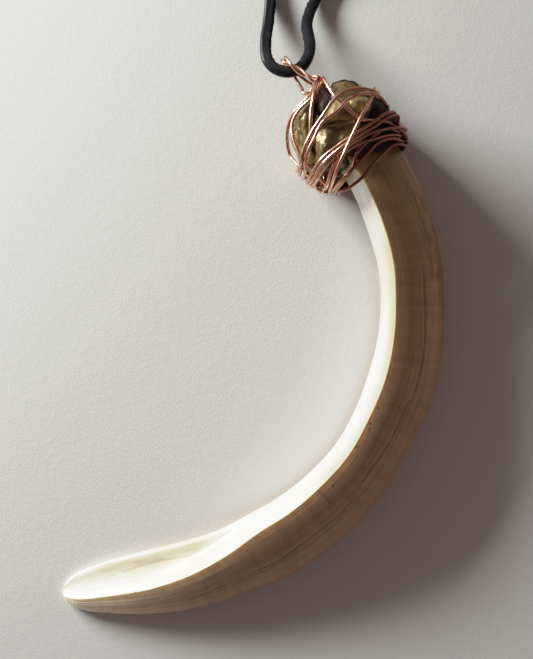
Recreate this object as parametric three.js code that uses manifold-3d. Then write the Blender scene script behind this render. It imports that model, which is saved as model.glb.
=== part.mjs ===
// A boar's tusk worn as a pendant: its root is covered by a folded leather cap, a copper
// wire is wrapped round the cap and twisted into a bail, and a leather lace runs through
// the bail. The pendant lies on its side. Millimetres, +Z up, the surface is z = 0.

import * as THREE from 'three';
import { mergeVertices } from 'three/addons/utils/BufferGeometryUtils.js';
import Module from 'manifold-3d';

const wasm = await Module();
wasm.setup();

const TOUCH_GAP = 0.35; // left between two pieces that touch

// The tusk from its root to its tip. x and y are the middle of its width, lift is how far
// its underside is off the surface, and ridge is how far across the width the ridge runs,
// from the hollow side of the curve.
const TUSK_STATIONS = [
  { x: 24, y: 65, width: 15, thick: 13, ridge: 0.16, lift: 4.2 },
  { x: 31.5, y: 56, width: 17.5, thick: 15, ridge: 0.15, lift: 3.7 },
  { x: 37.9, y: 46.5, width: 18.5, thick: 16, ridge: 0.16, lift: 3.2 },
  { x: 43, y: 34, width: 19, thick: 16.5, ridge: 0.18, lift: 2.6 },
  { x: 46.3, y: 22, width: 18.8, thick: 16.5, ridge: 0.17, lift: 2 },
  { x: 47.2, y: 10, width: 18.7, thick: 16.5, ridge: 0.16, lift: 1.5 },
  { x: 46.5, y: -2, width: 19.2, thick: 17, ridge: 0.17, lift: 1 },
  { x: 44, y: -14.1, width: 20.2, thick: 17.5, ridge: 0.18, lift: 0.6 },
  { x: 39, y: -26.1, width: 19.4, thick: 17.5, ridge: 0.17, lift: 0.3 },
  { x: 32.6, y: -37.7, width: 19.6, thick: 17.5, ridge: 0.17, lift: 0.1 },
  { x: 23.7, y: -48.2, width: 20.6, thick: 17, ridge: 0.17, lift: 0.05 },
  { x: 14.7, y: -55.6, width: 20.9, thick: 16, ridge: 0.19, lift: 0.1 },
  { x: 4.1, y: -62, width: 21.3, thick: 14.5, ridge: 0.22, lift: 0.2 },
  { x: -6.9, y: -67, width: 20.4, thick: 12.5, ridge: 0.33, lift: 0.25 },
  { x: -17.9, y: -70.5, width: 20.2, thick: 10.5, ridge: 0.45, lift: 0.25 },
  { x: -29.9, y: -73, width: 19.1, thick: 8.5, ridge: 0.55, lift: 0.15 },
  { x: -42, y: -74.7, width: 16, thick: 6.5, ridge: 0.61, lift: 0.05 },
  { x: -52.5, y: -76.2, width: 10.7, thick: 4.2, ridge: 0.66, lift: 0.05 },
  { x: -57, y: -76.6, width: 3.6, thick: 1.8, ridge: 0.66, lift: 0.5 },
];
const TUSK_RINGS = 76;
const TUSK_SIDES = 24;

// The head of the pendant, where the cap and the wire sit round the tusk's root.
const HEAD = { x: 26.8, y: 58.4, z: 11.5 };
const WIRE_REACH = 17.2; // from the head's middle to the wire, seen from above
const WIRE_RISE = 13; // from the head's middle to the wire over the top
const WIRE_DROP = 10.7; // and to the wire underneath
const WIDE_REACH = 17.8; // and to the wire that passes the outer side of the tusk
const WIDER_PAST_X = 41; // where that is

// The head falls away past two lines, the crest of the cap's folds and the tusk's ridge: a
// place on each line, and the way that the head falls from it, in degrees.
const CRESTS = [{ x: 32, y: 64.3, turn: -24 }, { x: 26.4, y: 52.6, turn: 33 }];
const FALL = { slope: 0.8, round: 2 };

const CAP = {
  reach: 15.8,
  rise: 11.8,
  drop: 9.8,
  mouthAt: { x: 26.5, y: 51.5 }, // where the cap ends on the tusk
  mouthTurn: -66, // degrees: the way that the tusk leaves the cap
};
// The folds of the cap: the way each one runs out from the cap's middle, in degrees, its
// depth as a share of the cap's reach, and its width in degrees.
const CAP_FOLDS = [
  { at: 112, deep: 0.1, wide: 16 },
  { at: 47, deep: 0.15, wide: 20 },
  { at: 200, deep: 0.07, wide: 14 },
  { at: 262, deep: 0.05, wide: 18 },
];

const WIRE_RADIUS = 0.5; // 18 gauge
const WIRE_SIDES = 5;
const WIRE_STEP = 0.8; // between places where the wire is laid beside its other turns
const WIRE_STEPS_A_SEGMENT = 3; // of those, to one straight segment of the finished wire
const WIRE_APART = 1.04; // between the middles of two turns that touch

// The wire's wraps in the order it was wound. Each one goes over the top of the head from
// its first point to its last, as x, y and how far it stands off the head's skin, and then
// back under the head to the next.
const WRAPS_ROUND_THE_ROOT = [
  [[34.5, 70.5, 0.3], [33.5, 67, 0.2], [30.5, 61.5, 1.4], [28.3, 57, 2], [26, 52, 1.8],
    [23.8, 47, 1.2], [22.5, 42.5, 0.6]],
  [[35, 69, 0.8], [30.5, 70, 0.4], [26, 69, 0.8], [23, 66.5, 1.1], [19.5, 61.5, 1.2],
    [16.5, 57, 1.2], [14.5, 52.5, 1.2], [14, 49, 0.9]],
  [[38, 66, 0.6], [35.5, 68, 0.6], [32, 68.5, 0.4], [27, 66.5, 1.1], [23.5, 63, 1.1],
    [19.5, 60, 1], [17.5, 56, 1], [15.5, 51.5, 1], [15.3, 47, 0.8]],
  [[41, 61.5, 1], [41, 64, 1], [37.5, 63, 1], [33.5, 60, 0.9], [29, 57, 0.7],
    [24, 53.5, 0.6], [19.5, 50, 0.6], [16.5, 45.5, 0.6]],
  [[41.6, 60.6, 1.2], [41.3, 62.9, 1.2], [38, 61.9, 1], [34, 59, 0.9], [29.5, 56, 0.7],
    [24.6, 52.6, 0.6], [20.2, 49, 0.6], [17.4, 45.2, 0.6]],
  [[42, 60.3, 0.6], [37.5, 59, 0.5], [33, 57.3, 0.3], [28, 54.5, 0.3], [24, 51.5, 0.3],
    [20.5, 48, 0.4], [18.3, 44.5, 0.5]],
  [[42.5, 59, 0.3], [38.5, 59.6, 0.1], [35.5, 57.5, 0], [32.5, 55, 0], [29.5, 51.5, 0],
    [28, 47, 0.2], [26, 44.5, 0.3], [24, 42, 0.3]],
  [[42.3, 58, 0.3], [34, 56, 0], [28, 53.3, 0], [24, 50.3, 0], [22, 46, 0],
    [21.3, 43, 0.2]],
  [[43.2, 56.3, 0.8], [39.5, 57, 0.6], [35.5, 55, 0.4], [32, 51, 0.4], [27.8, 47, 0.6],
    [25, 43.8, 0.7], [23.5, 42, 0.6]],
  [[43.7, 56, 1], [40.5, 55.2, 0.4], [37, 51.7, 0.2], [34, 48.5, 0.2], [31, 45, 0.6],
    [27.5, 42.5, 1.2], [24.5, 41.8, 0.8]],
];
const WRAPS_FROM_THE_BAIL = [
  [[19, 73.5, 0.9], [17.5, 68.5, 0.9], [16.5, 62.5, 0.3], [16.3, 57, 0], [14.3, 52, 0],
    [13.6, 47.5, 0.1]],
  [[18.6, 73.5, 0.1], [16.6, 68.5, 0], [12.5, 64.5, 0], [10.3, 60.5, 0], [10, 56, 0],
    [11, 52, 0], [13.6, 48.6, 0], [16, 46, 0], [19, 43, 0.2], [21.3, 42.2, 0.5]],
  [[19.3, 73, 0.5], [17.2, 68.3, 0], [13.6, 65, 0], [11.4, 61, 0], [11.7, 56.5, 0],
    [14, 51.5, 0], [17, 47.5, 0], [19.5, 44.5, 0], [21, 43, 0.2]],
  [[20, 73.5, 0.6], [23.5, 67.5, 0], [27.5, 63.5, 0], [30.5, 61.2, 0], [34.5, 61, 0],
    [38.5, 61.2, 0.2], [41.7, 60.2, 0.6], [43.9, 58.2, 1], [44.3, 56.4, 1.2]],
];

// The bail: two strands, twisted together, come off the head and pass over the lace. They
// turn at the tip and come back under it apart, one into the head and one to a curled end.
const BAIL_OUT = [[19, 73.2, 16.3], [17.2, 74.2, 15.6], [14.5, 76, 14.8], [11.5, 78.4, 14],
  [9.4, 80.3, 12.4]];
const BAIL_TIPS = [[8.6, 80.9, 9.9], [9.6, 81.3, 9.9]];
const BAIL_BACK = [
  [[10.6, 79.6, 7.6], [13.4, 77.2, 7], [16, 74.8, 7.6], [18.2, 73, 8.8], [19.3, 73, 11]],
  [[9.6, 79.2, 7.4], [12, 76.9, 6.9], [13.8, 74, 7.6], [14.6, 72, 10.2], [14.3, 71, 12.6],
    [15.3, 70.3, 13.6], [16.6, 70.7, 13.8], [17.1, 71.6, 13.9]],
];
const STRAND_OFFSET = 0.56; // from the middle of the twist to each strand's middle
const TWIST_LENGTH = 6.5; // for one full turn

// The lace: down the left strand, through the bail and up the right strand to the knot.
const LACE_DIAMETER = 3;
const LACE_STEPS = 30;
const LACE_ROUTE = [
  [-2.5, 112.8, 1.7], [0.9, 110.6, 1.7], [3.5, 107.8, 1.7], [4.9, 104.5, 1.7], [5.2, 100.9, 1.8],
  [4.9, 96.8, 2.5], [4.5, 92.5, 4], [4, 87, 6.8], [3.9, 82.5, 9.2], [5, 78.9, 10.3],
  [7.6, 77, 10.6], [10.6, 77.3, 10.7], [13.6, 79.2, 10.5], [15.8, 82, 9.6], [16.8, 85.5, 8],
  [16.4, 89, 6.2], [16, 92.3, 4.4], [16.9, 96.5, 2.7], [18.8, 100.9, 1.8], [21.2, 105, 1.7],
  [24.4, 109, 1.7], [28, 112.6, 2], [31.9, 115.4, 2.7],
];
const COIL = { x: 11.8, y: 131, radius: 16.5 };
// Half of the coil's cross-section, as distance from its middle line and height: three
// turns lie on the surface, two on those, and the last on top.
const COIL_BUNDLE = [[4.4, 0.1], [4.8, 1.2], [4.2, 3], [3.2, 5.6], [1.8, 7.8], [0.9, 8.3]];
const KNOT = { x: 36, y: 118.9, z: 3.5, reach: [5, 4.4, 3.4] };
const KNOT_TAILS = [
  [[36, 118.9, 3.2], [40.2, 117.4, 2.4], [44.2, 114.9, 1.7]],
  [[36, 118.9, 3.4], [40.6, 120.3, 2.6], [45, 120.7, 1.7]],
];
const TIE = { turn: 100, width: 2.4, thick: 0.8, gap: 0.5 }; // degrees round the coil, from +X

const point = ([x, y, z]) => new THREE.Vector3(x, y, z);
const curveThrough = (points) => new THREE.CatmullRomCurve3(points, false, 'centripetal');

// Joins rings of equally many points into one closed skin with a lid at each end.
function skinOver(rings) {
  const around = rings[0].length;
  const positions = rings.flat().flatMap((p) => p.toArray());
  const faces = [];
  for (let ring = 0; ring < rings.length - 1; ring++) {
    for (let i = 0; i < around; i++) {
      const here = ring * around + i;
      const next = ring * around + (i + 1) % around;
      faces.push(here, here + around, next, next, here + around, next + around);
    }
  }
  for (const [first, outward] of [[0, 1], [(rings.length - 1) * around, -1]]) {
    const middle = new THREE.Vector3();
    for (let i = 0; i < around; i++) {
      middle.add(new THREE.Vector3().fromArray(positions, (first + i) * 3));
    }
    middle.divideScalar(around);
    const centre = positions.length / 3;
    positions.push(...middle.toArray());
    for (let i = 0; i < around; i++) {
      const pair = [first + i, first + (i + 1) % around];
      faces.push(centre, ...(outward > 0 ? pair : pair.reverse()));
    }
  }
  const geometry = new THREE.BufferGeometry();
  geometry.setAttribute('position', new THREE.Float32BufferAttribute(positions, 3));
  geometry.setIndex(faces);
  return geometry;
}

function toManifold(geometry) {
  const bare = geometry.clone();
  bare.deleteAttribute('normal');
  bare.deleteAttribute('uv');
  const merged = mergeVertices(bare, 1e-4);
  return new wasm.Manifold(new wasm.Mesh({
    numProp: 3,
    vertProperties: new Float32Array(merged.attributes.position.array),
    triVerts: new Uint32Array(merged.index.array),
  }));
}

function fromManifold(solid) {
  const mesh = solid.getMesh();
  const geometry = new THREE.BufferGeometry();
  geometry.setAttribute('position', new THREE.BufferAttribute(mesh.vertProperties, 3));
  geometry.setIndex(new THREE.BufferAttribute(mesh.triVerts, 1));
  return geometry;
}

// A round bar along a curve.
function bar(curve, radius, sides, steps) {
  const corners = Array.from({ length: sides }, (_, i) => new THREE.Vector2(radius, 0)
    .rotateAround(new THREE.Vector2(), 2 * Math.PI * i / sides));
  return new THREE.ExtrudeGeometry(new THREE.Shape(corners), {
    extrudePath: curve,
    steps,
    bevelEnabled: false,
  });
}

// The tusk's cross-section as shares of its width and thickness, going round from the
// foot of the inner face, over the ridge, down the long side face and back underneath.
function tuskSection(ridge) {
  const side = 1 - ridge;
  return [
    [0, 0.16], [0.42 * ridge, 0.6], [0.82 * ridge, 0.92], [ridge, 1],
    [ridge + 0.14 * side, 0.965], [ridge + 0.5 * side, 0.8], [ridge + 0.84 * side, 0.56],
    [1, 0.34], [0.94, 0.13], [0.76, 0.02], [0.45, 0], [0.13, 0.03],
  ];
}

function tuskSkin(stations, grow = 0) {
  const along = (pick) => new THREE.CatmullRomCurve3(stations.map(pick), false, 'catmullrom');
  const spine = along((s) => new THREE.Vector3(s.x, s.y, s.lift));
  const form = along((s) => new THREE.Vector3(s.width, s.thick, s.ridge));
  const rings = [];
  for (let ring = 0; ring < TUSK_RINGS; ring++) {
    const t = ring / (TUSK_RINGS - 1);
    const middle = spine.getPoint(t);
    const ahead = spine.getTangent(t).setZ(0).normalize();
    if (ring === 0) middle.addScaledVector(ahead, -grow);
    const outward = new THREE.Vector3(-ahead.y, ahead.x, 0);
    const { x: width, y: thick, z: ridge } = form.getPoint(t);
    const outline = new THREE.CatmullRomCurve3(
      tuskSection(ridge).map(([across, up]) => new THREE.Vector3(
        (across - 0.5) * (width + 2 * grow), up * (thick + 2 * grow) - grow, 0)),
      true,
      'centripetal',
    );
    const points = outline.getPoints(TUSK_SIDES).slice(0, TUSK_SIDES);
    rings.push(points.map((p) => middle.clone().addScaledVector(outward, p.x).setZ(middle.z + p.y)));
  }
  return skinOver(rings);
}

function makeTusk() {
  return tuskSkin(TUSK_STATIONS);
}

// The share of its full reach that the cap keeps where its folds draw it in.
function drawnIn(turn) {
  return 1 - CAP_FOLDS.reduce((sum, fold) => {
    const away = Math.abs(((turn - fold.at + 540) % 360) - 180) / fold.wide;
    return sum + fold.deep * Math.exp(-away * away);
  }, 0);
}

// How far the head's top has fallen at a place past its crest.
function fallAt(x, y) {
  const past = Math.min(...CRESTS.map((crest) => {
    const turn = THREE.MathUtils.degToRad(crest.turn);
    return (x - crest.x) * Math.cos(turn) + (y - crest.y) * Math.sin(turn);
  }));
  return past > 0 ? FALL.slope * (Math.hypot(past, FALL.round) - FALL.round) : 0;
}

// The cap is a rounded bag over the root: a ball flattened to the head's size, drawn in at
// its folds, open where the tusk leaves it, and hollowed to fit the tusk.
function makeCap() {
  const bag = new THREE.SphereGeometry(1, 32, 20);
  bag.rotateX(Math.PI / 2);
  const positions = bag.attributes.position;
  for (let i = 0; i < positions.count; i++) {
    const p = new THREE.Vector3().fromBufferAttribute(positions, i);
    const turn = THREE.MathUtils.radToDeg(Math.atan2(p.y, p.x));
    const flat = Math.hypot(p.x, p.y);
    const reach = 1 - (1 - drawnIn(turn)) * flat;
    const boxy = (flat ** 3 + Math.abs(p.z) ** 3) ** (-1 / 3);
    p.multiplyScalar(boxy);
    p.x = HEAD.x + p.x * CAP.reach * reach;
    p.y = HEAD.y + p.y * CAP.reach * reach;
    const height = p.z > 0 ? CAP.rise - fallAt(p.x, p.y) : CAP.drop;
    p.z = HEAD.z + p.z * height * (0.5 + 0.5 * reach);
    positions.setXYZ(i, p.x, p.y, p.z);
  }
  const past = new THREE.BoxGeometry(60, 60, 60);
  past.translate(30, 0, 0);
  past.rotateZ(THREE.MathUtils.degToRad(CAP.mouthTurn));
  past.translate(CAP.mouthAt.x, CAP.mouthAt.y, HEAD.z);
  const room = tuskSkin(TUSK_STATIONS, TOUCH_GAP);
  return fromManifold(toManifold(bag).subtract(toManifold(past)).subtract(toManifold(room)));
}

// The height of the wire's middle over or under a place on the head.
function wireHeight(x, y, over) {
  const out = Math.min(1, Math.hypot(x - HEAD.x, y - HEAD.y) / WIRE_REACH);
  const power = over ? 3 : 5;
  const share = (1 - out ** power) ** (1 / power);
  return HEAD.z + share * (over ? WIRE_RISE - fallAt(x, y) : -WIRE_DROP);
}

// Where the wire turns over the head's side, beside a wrap's first or last point. It lies in
// the cap's folds, and goes wider round the outer side of the tusk.
function rimPoint([x, y]) {
  const turn = THREE.MathUtils.radToDeg(Math.atan2(y - HEAD.y, x - HEAD.x));
  const out = x > WIDER_PAST_X ? WIDE_REACH : WIRE_REACH * drawnIn(turn);
  const away = new THREE.Vector2(x - HEAD.x, y - HEAD.y).setLength(out);
  return new THREE.Vector3(HEAD.x + away.x, HEAD.y + away.y, HEAD.z - 3);
}

// The way back under the head from the end of one wrap to the start of the next.
function underneath(from, to) {
  const start = rimPoint(from);
  const end = rimPoint(to);
  const points = [start];
  for (const share of [0.12, 0.35, 0.65, 0.88]) {
    const p = start.clone().lerp(end, share);
    points.push(p.setZ(wireHeight(p.x, p.y, false)));
  }
  points.push(end);
  return points;
}

function overTheTop(wrap) {
  return wrap.map(([x, y, off]) => new THREE.Vector3(x, y, wireHeight(x, y, true) + off));
}

// One strand of the bail, out along the twist and back under the lace.
function bailStrand(which) {
  const twist = curveThrough(BAIL_OUT.map(point));
  const long = twist.getLength();
  const places = Math.round(8 * long / TWIST_LENGTH);
  const strand = [];
  for (let i = 0; i <= places; i++) {
    const ahead = twist.getTangentAt(i / places);
    const side = new THREE.Vector3(0, 0, 1).cross(ahead).normalize();
    const turn = 2 * Math.PI * (which / 2 + (i / places) * long / TWIST_LENGTH);
    strand.push(twist.getPointAt(i / places)
      .addScaledVector(side, STRAND_OFFSET * Math.cos(turn))
      .addScaledVector(ahead.cross(side), STRAND_OFFSET * Math.sin(turn)));
  }
  return [...strand, ...[BAIL_TIPS[which], ...BAIL_BACK[which]].map(point)];
}

// The points of the wire through some wraps, each with its way back under the head.
function wound(wraps, endsAt) {
  return wraps.flatMap((wrap, i) => [
    ...overTheTop(wrap),
    ...underneath(wrap.at(-1), wraps[i + 1]?.[0] ?? endsAt),
  ]);
}

// Lays the wire's turns beside each other: where two would share a place, each moves aside
// or outwards, and the wire stays smooth.
function laidApart(places) {
  const count = places.length;
  const moved = places.map(() => new THREE.Vector3());
  const middle = point([HEAD.x, HEAD.y, HEAD.z]);
  const outward = places.map((p) => p.clone().sub(middle).normalize());
  for (let pass = 0; pass < 60; pass++) {
    const now = places.map((p, i) => p.clone().add(moved[i]));
    for (let i = 0; i < count; i++) {
      for (let j = i + 5; j < count; j++) {
        const between = now[i].clone().sub(now[j]);
        const apart = between.length();
        if (apart >= WIRE_APART || apart === 0) continue;
        between.multiplyScalar(0.3 * (WIRE_APART - apart) / apart);
        moved[i].add(between);
        moved[j].sub(between);
      }
    }
    const before = moved.map((m) => m.clone());
    for (let i = 1; i < count - 1; i++) {
      const beside = before[i - 1].clone().add(before[i + 1]).multiplyScalar(0.5);
      moved[i].lerp(beside, 0.5);
      moved[i].addScaledVector(outward[i], Math.max(0, -0.3 - moved[i].dot(outward[i])));
    }
  }
  return places.map((p, i) => p.clone().add(moved[i]).setZ(Math.max(p.z + moved[i].z, 0.55)));
}

// One length of wire: round the root, out and back as the bail's first strand, round the
// root again, and out and back as the second.
function makeWire() {
  const route = curveThrough([
    ...wound(WRAPS_ROUND_THE_ROOT, BAIL_OUT[0]),
    ...bailStrand(0),
    ...wound(WRAPS_FROM_THE_BAIL, BAIL_OUT[0]),
    ...bailStrand(1),
  ]);
  route.arcLengthDivisions = 6000;
  const steps = Math.round(route.getLength() / WIRE_STEP);
  const wire = curveThrough(laidApart(route.getSpacedPoints(steps)));
  wire.arcLengthDivisions = 6000;
  return bar(wire, WIRE_RADIUS, WIRE_SIDES, Math.round(steps / WIRE_STEPS_A_SEGMENT));
}

function makeLace() {
  return bar(curveThrough(LACE_ROUTE.map(point)), LACE_DIAMETER / 2, 8, LACE_STEPS);
}

function makeCoil() {
  const right = COIL_BUNDLE.map(([out, up]) => new THREE.Vector2(COIL.radius + out, up));
  const left = COIL_BUNDLE.map(([out, up]) => new THREE.Vector2(COIL.radius - out, up)).reverse();
  const profile = [...right, ...left, right[0].clone()];
  const ring = new THREE.LatheGeometry(profile, 32);
  ring.rotateX(Math.PI / 2);
  ring.translate(COIL.x, COIL.y, 0);
  return ring;
}

// A strap over the coil's bundle, down to the surface on both sides.
function makeTie() {
  const offset = (by) => COIL_BUNDLE.map(([out, up], i) => new THREE.Vector2(
    out + by, i < 1 ? 0.3 : up + by * (i / (COIL_BUNDLE.length - 1))));
  const mirrored = (points) => points.map((p) => new THREE.Vector2(-p.x, p.y)).reverse();
  const inside = offset(TIE.gap);
  const outside = offset(TIE.gap + TIE.thick);
  const section = new THREE.Shape([
    ...outside, ...mirrored(outside), ...mirrored(inside).reverse(), ...inside.reverse(),
  ]);
  const strap = new THREE.ExtrudeGeometry(section, { depth: TIE.width, bevelEnabled: false });
  strap.translate(COIL.radius, 0, -TIE.width / 2);
  strap.rotateX(Math.PI / 2);
  strap.rotateZ(THREE.MathUtils.degToRad(TIE.turn));
  strap.translate(COIL.x, COIL.y, 0);
  return strap;
}

function makeKnot() {
  const lump = new THREE.SphereGeometry(1, 14, 10);
  lump.scale(...KNOT.reach);
  lump.translate(KNOT.x, KNOT.y, KNOT.z);
  const tails = KNOT_TAILS.map((route) => toManifold(
    bar(curveThrough(route.map(point)), LACE_DIAMETER / 2, 8, 4)));
  return fromManifold(tails.reduce((all, tail) => all.add(tail), toManifold(lump)));
}

const ivory = { color: 0xe4dcc4, roughness: 0.35, metalness: 0 };
const goldLeather = { color: 0x8a7a3c, roughness: 0.4, metalness: 0.6 };
const copper = { color: 0xc98a6a, roughness: 0.25, metalness: 1 };
const blackLeather = { color: 0x212226, roughness: 0.55, metalness: 0 };

const pieces = [
  ['tusk', makeTusk(), ivory],
  ['leather_cap', makeCap(), goldLeather],
  ['copper_wire', makeWire(), copper],
  ['lace', makeLace(), blackLeather],
  ['lace_coil', makeCoil(), blackLeather],
  ['lace_knot', makeKnot(), blackLeather],
  ['coil_tie', makeTie(), blackLeather],
];

const pendant = new THREE.Group();
for (const [name, geometry, finish] of pieces) {
  const mesh = new THREE.Mesh(geometry, new THREE.MeshStandardMaterial(finish));
  mesh.name = name;
  pendant.add(mesh);
}

export default pendant;
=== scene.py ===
"""A boar's tusk worn as a pendant: a tusk, a folded gold leather cap over its root, a copper
wire wrapped round the cap and twisted into a bail, and a black leather lace."""

import math

import bmesh
import bpy
import numpy as np
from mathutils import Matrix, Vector, noise


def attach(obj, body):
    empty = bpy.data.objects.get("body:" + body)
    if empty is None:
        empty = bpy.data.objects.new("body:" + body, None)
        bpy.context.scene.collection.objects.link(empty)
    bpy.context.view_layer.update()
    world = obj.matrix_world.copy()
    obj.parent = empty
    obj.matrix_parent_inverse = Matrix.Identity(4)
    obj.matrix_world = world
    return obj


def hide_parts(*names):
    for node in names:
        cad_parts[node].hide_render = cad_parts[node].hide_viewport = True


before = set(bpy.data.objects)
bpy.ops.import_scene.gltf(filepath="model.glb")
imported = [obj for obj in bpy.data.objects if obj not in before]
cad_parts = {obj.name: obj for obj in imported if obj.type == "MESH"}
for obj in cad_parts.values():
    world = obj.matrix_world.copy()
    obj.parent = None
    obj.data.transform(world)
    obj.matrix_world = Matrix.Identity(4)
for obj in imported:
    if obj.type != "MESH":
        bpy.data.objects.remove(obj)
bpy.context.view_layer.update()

# ---------------- table, daylight and eye
# The pendant lies on a table covered with pale, slightly rough paper. Daylight from a wide
# window comes in low from the upper left, and the eye looks straight down.

MM = 0.001
EYE = (4.05, 2.10, 380)  # millimetres
SEEN_TOP_TO_BOTTOM = 197.7  # millimetres of table that the view takes in
FILM_LONG_SIDE = 36
WINDOW_TURN, WINDOW_RISE = 143, 17  # degrees: the way that the light comes from
TABLE_HALF = 1.6  # metres

scene = bpy.context.scene
scene.view_settings.view_transform = "Standard"

# The film's response: straight in the shadows, with a long soft shoulder to white.
scene.view_settings.use_curve_mapping = True
response = scene.view_settings.curve_mapping
response.white_level = (3, 3, 3)
film = response.curves[3]
for light, shown in ((0.167, 0.49), (0.333, 0.80), (0.567, 0.93)):
    film.points.new(light, shown)
response.update()


def add(tree, kind, inputs=None, **settings):
    """A new node in a tree, its inputs set to values or linked to other nodes' outputs."""
    node = tree.nodes.new(kind)
    for name, value in settings.items():
        setattr(node, name, value)
    for name, value in (inputs or {}).items():
        if isinstance(value, bpy.types.NodeSocket):
            tree.links.new(value, node.inputs[name])
        else:
            node.inputs[name].default_value = value
    return node


def new_material(name):
    """An empty material and its node tree."""
    material = bpy.data.materials.new(name)
    material.use_nodes = True
    material.node_tree.nodes.clear()
    return material, material.node_tree


def shade(tree, inputs):
    """Puts a shader with these inputs on a material's output."""
    shader = add(tree, "ShaderNodeBsdfPrincipled", inputs)
    add(tree, "ShaderNodeOutputMaterial", {"Surface": shader.outputs["BSDF"]})


def noise_at(tree, place, scale, detail, rough=0.5):
    """Noise at a place, with so many features to the metre."""
    inputs = {"Vector": place, "Scale": scale, "Detail": detail, "Roughness": rough}
    return add(tree, "ShaderNodeTexNoise", inputs).outputs["Fac"]


def bumped(tree, height, strength, distance):
    """The way that a surface faces when a height is pressed into it."""
    inputs = {"Height": height, "Strength": strength, "Distance": distance}
    return add(tree, "ShaderNodeBump", inputs).outputs["Normal"]


def math_node(tree, operation, *values, clamp=False):
    """The result of one step of arithmetic in a tree."""
    inputs = dict(enumerate(values))
    return add(tree, "ShaderNodeMath", inputs, operation=operation, use_clamp=clamp).outputs[0]


def ramp(tree, factor, stops):
    """A colour that runs through stops, each a place and its red, green and blue."""
    node = add(tree, "ShaderNodeValToRGB", {"Fac": factor})
    places = node.color_ramp.elements
    while len(places) < len(stops):
        places.new(0.5)
    for element, (place, *colour) in zip(places, stops):
        element.position = place
        element.color = (*colour, 1)
    return node.outputs["Color"]


def put(name, data):
    """A new object in the scene, at its origin."""
    thing = bpy.data.objects.new(name, data)
    scene.collection.objects.link(thing)
    return thing


def set_up_view():
    camera = put("eye", bpy.data.cameras.new("eye"))
    scene.camera = camera
    camera.location = Vector(EYE) * MM
    camera.data.sensor_width = FILM_LONG_SIDE
    camera.data.lens = FILM_LONG_SIDE * EYE[2] / SEEN_TOP_TO_BOTTOM
    camera.data.clip_start = 0.01


def set_up_daylight():
    turn, rise, away = math.radians(WINDOW_TURN), math.radians(WINDOW_RISE), 0.6
    window = bpy.data.lights.new("window", "AREA")
    window.shape = "RECTANGLE"
    window.size, window.size_y = 0.34, 0.11
    window.energy = 9.2
    window.color = (0.98, 1.0, 0.96)
    light = put("window", window)
    towards = Vector((math.cos(turn) * math.cos(rise), math.sin(turn) * math.cos(rise), math.sin(rise)))
    light.location = towards * away
    light.rotation_euler = towards.to_track_quat("Z", "Y").to_euler()
    room = bpy.data.worlds.new("room")
    scene.world = room
    room.use_nodes = True
    tree = room.node_tree
    way = add(tree, "ShaderNodeSeparateXYZ", {"Vector": add(tree, "ShaderNodeTexCoord").outputs["Generated"]})
    walls_and_ceiling = ramp(tree, way.outputs["Z"], [
        (0.0, 0.4, 0.31, 0.3), (0.35, 0.27, 0.2, 0.19), (0.75, 0.11, 0.08, 0.075), (1.0, 0.05, 0.036, 0.034)])
    tree.links.new(walls_and_ceiling, tree.nodes["Background"].inputs["Color"])


def table_paper():
    material, tree = new_material("pale_paper")
    place = add(tree, "ShaderNodeTexCoord").outputs["Object"]
    height = math_node(tree, "ADD", noise_at(tree, place, 1500, 3), noise_at(tree, place, 420, 2))
    shade(tree, {"Base Color": (0.69, 0.695, 0.68, 1), "Roughness": 0.85, "Specular IOR Level": 0.25,
                 "Normal": bumped(tree, height, 0.25, 0.00018)})
    return material


def lay_table():
    mesh = bpy.data.meshes.new("table")
    corners = [(x * TABLE_HALF, y * TABLE_HALF, 0) for x, y in ((-1, -1), (1, -1), (1, 1), (-1, 1))]
    mesh.from_pydata(corners, [], [(0, 1, 2, 3)])
    table = put("table", mesh)
    mesh.materials.append(table_paper())


set_up_view()
set_up_daylight()
lay_table()

# ---------------- lace
# One length of black leather lace, cut about 3 mm wide, smooth on its outer side and ragged on
# its inner one. It runs through the bail, and the rest is wound up and tied off above.

LACE_WIDE, LACE_THICK = 3.4 * MM, 2.4 * MM
LACE_STEP, LACE_SIDES = 0.7 * MM, 24
# From the middle of the bend that lies in the bail, up the left side to the coil.
LACE_LEFT = [
    (0.0099, 0.0772, 0.0107), (0.0074, 0.0778, 0.0106), (0.0054, 0.0793, 0.0102),
    (0.0041, 0.0816, 0.0095), (0.0038, 0.0870, 0.0068), (0.0045, 0.0925, 0.0040),
    (0.0049, 0.0968, 0.0025), (0.0052, 0.1009, 0.0017), (0.0049, 0.1045, 0.0014),
    (0.0035, 0.1078, 0.0014), (0.0009, 0.1106, 0.0014), (-0.0025, 0.1140, 0.0014),
]
# From the coil, through the knot, and down the right side to the bail.
LACE_RIGHT = [
    (0.0302, 0.1300, 0.0054), (0.0330, 0.1250, 0.0048), (0.0343, 0.1216, 0.0042),
    (0.0342, 0.1184, 0.0035), (0.0322, 0.1153, 0.0027), (0.0281, 0.1122, 0.0019),
    (0.0244, 0.1088, 0.0014), (0.0212, 0.1050, 0.0014), (0.0188, 0.1009, 0.0017),
    (0.0169, 0.0965, 0.0027), (0.0160, 0.0923, 0.0044), (0.0164, 0.0890, 0.0062),
    (0.0168, 0.0855, 0.0080), (0.0162, 0.0820, 0.0096), (0.0146, 0.0791, 0.0104),
    (0.0123, 0.0776, 0.0107),
]
COIL_MIDDLE = (0.0118, 0.1310)
COIL_STARTS, COIL_ENDS = 232, 20  # degrees round the coil; the lace runs clockwise
# The coil's turns, from the first to the last: each one's radius and height.
COIL_TURNS = [(0.0197, 0.00135), (0.0165, 0.00135), (0.0133, 0.00135), (0.0149, 0.0034),
              (0.0181, 0.0034), (0.0165, 0.0055)]
POINTS_A_TURN = 36
TIE_AT = 100  # degrees round the coil
TIE_THREAD = 0.6 * MM
PEBBLE_WARP = 0.9 * MM  # how far the grain's pebbles are pushed out of round


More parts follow.
